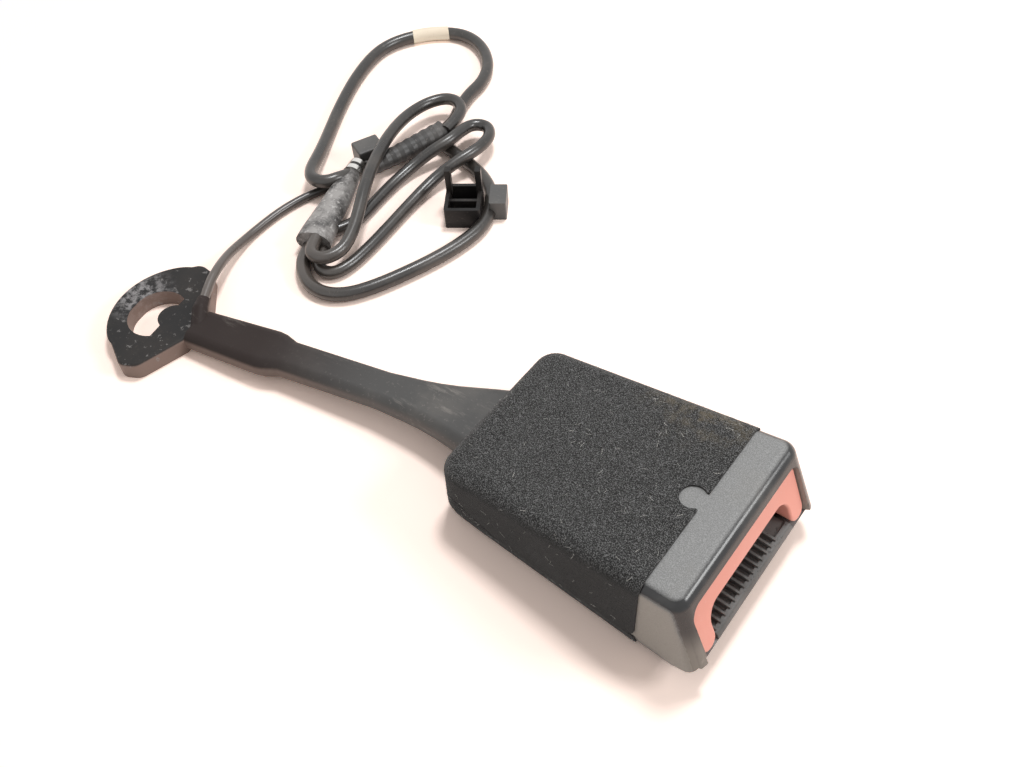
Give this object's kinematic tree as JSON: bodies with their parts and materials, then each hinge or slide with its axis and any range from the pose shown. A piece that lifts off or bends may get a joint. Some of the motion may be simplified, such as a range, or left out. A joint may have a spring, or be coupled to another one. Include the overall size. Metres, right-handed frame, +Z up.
{
  "type": "seat belt buckle",
  "caption": "Seat belt buckle: velour covered head with wide push button and comb mouth, on a moulded stalk with a flat anchor plate and a looped switch lead",
  "frame": {"origin": "centre of the anchor hole on the plane that the buckle lies on", "axes": "+X the way the head points, +Y towards the side that the lead leaves, +Z up out of the button side"},
  "size_m": [0.2683, 0.222, 0.0327],
  "materials": {
    "shell_plastic": "grained moulded plastic, scuffed",
    "velour": "short pile with lint and dust",
    "red_plastic": "faded red moulding",
    "comb_plastic": "grey moulding with grime in the slots",
    "frame_steel": "zinc plated",
    "rivet_steel": "plated",
    "spring_steel": "drawn wire",
    "rope_steel": "stranded wire rope",
    "ejector_plastic": "natural moulding",
    "black_plastic": "black moulding",
    "sleeve_plastic": "semi-rigid, scuffed and dusty",
    "sheath_rubber": "worn skin, rubbed pale at the hole",
    "cable_sheath": "dusty vinyl",
    "tape": "wound tape",
    "tie_metal": "thin bright band",
    "grey_connector": "grey moulding",
    "label_film": "plain cream film"
  },
  "bodies": {
    "case": {"upper_shell": "shell_plastic", "lower_shell": "shell_plastic", "upper_velour": "velour", "lower_velour": "velour", "mouth_comb": "comb_plastic", "frame": "frame_steel", "frame_rivets": "rivet_steel", "ejector_spring": "spring_steel", "button_spring_left": "spring_steel", "button_spring_right": "spring_steel", "switch_housing": "black_plastic", "switch_wires": "cable_sheath", "shell_screws": "rivet_steel", "head_ferrule": "rivet_steel", "stalk_cable": "rope_steel", "anchor_ferrule": "rivet_steel", "anchor_plate": "frame_steel", "anchor_rivets": "rivet_steel", "stalk_sleeve": "sleeve_plastic", "anchor_sheath": "sheath_rubber", "signal_lead": "cable_sheath", "loop_sleeve": "cable_sheath", "inner_loop": "cable_sheath", "return_loop": "cable_sheath", "outer_loop": "cable_sheath", "splice_boot": "tape", "cable_tie": "tie_metal", "taped_section": "tape", "inline_connector": "grey_connector", "label_band": "label_film", "plug_housing": "black_plastic", "strap_clip": "grey_connector"},
    "button": {"release_button": "red_plastic"},
    "ejector": {"ejector": "ejector_plastic"},
    "latch": {"latch": "frame_steel", "latch_spring": "spring_steel"},
    "lock_slide": {"lock_slide": "frame_steel"},
    "plunger": {"switch_plunger": "ejector_plastic"}
  },
  "joints": [
    {"name": "button_push", "type": "slide", "parent": "case", "child": "button", "axis": [-1, 0, 0], "range_m": [0, 0.006], "stiffness_N_per_m": 300, "deforming": ["button_spring_left", "button_spring_right"]},
    {"name": "ejector_slide", "type": "slide", "parent": "case", "child": "ejector", "axis": [-1, 0, 0], "range_m": [0, 0.011], "stiffness_N_per_m": 200, "deforming": ["ejector_spring"]},
    {"name": "latch_drop", "type": "hinge", "parent": "case", "child": "latch", "pos_m": [0.14904, 0.02483, 0.0183], "axis": [0, 1, 0], "range_deg": [0, 6.5]},
    {"name": "lock_slide_move", "type": "slide", "parent": "case", "child": "lock_slide", "axis": [1, 0, 0], "range_m": [0, 0.004]},
    {"name": "plunger_slide", "type": "slide", "parent": "case", "child": "plunger", "axis": [-1, 0, 0], "range_m": [0, 0.003]}
  ],
  "couplings": [
    {"joint": "latch_drop", "follows": "ejector_slide", "rad_per_m": 10.312},
    {"joint": "lock_slide_move", "follows": "ejector_slide", "ratio": 0.36364},
    {"joint": "plunger_slide", "follows": "ejector_slide", "ratio": 0.27273}
  ]
}
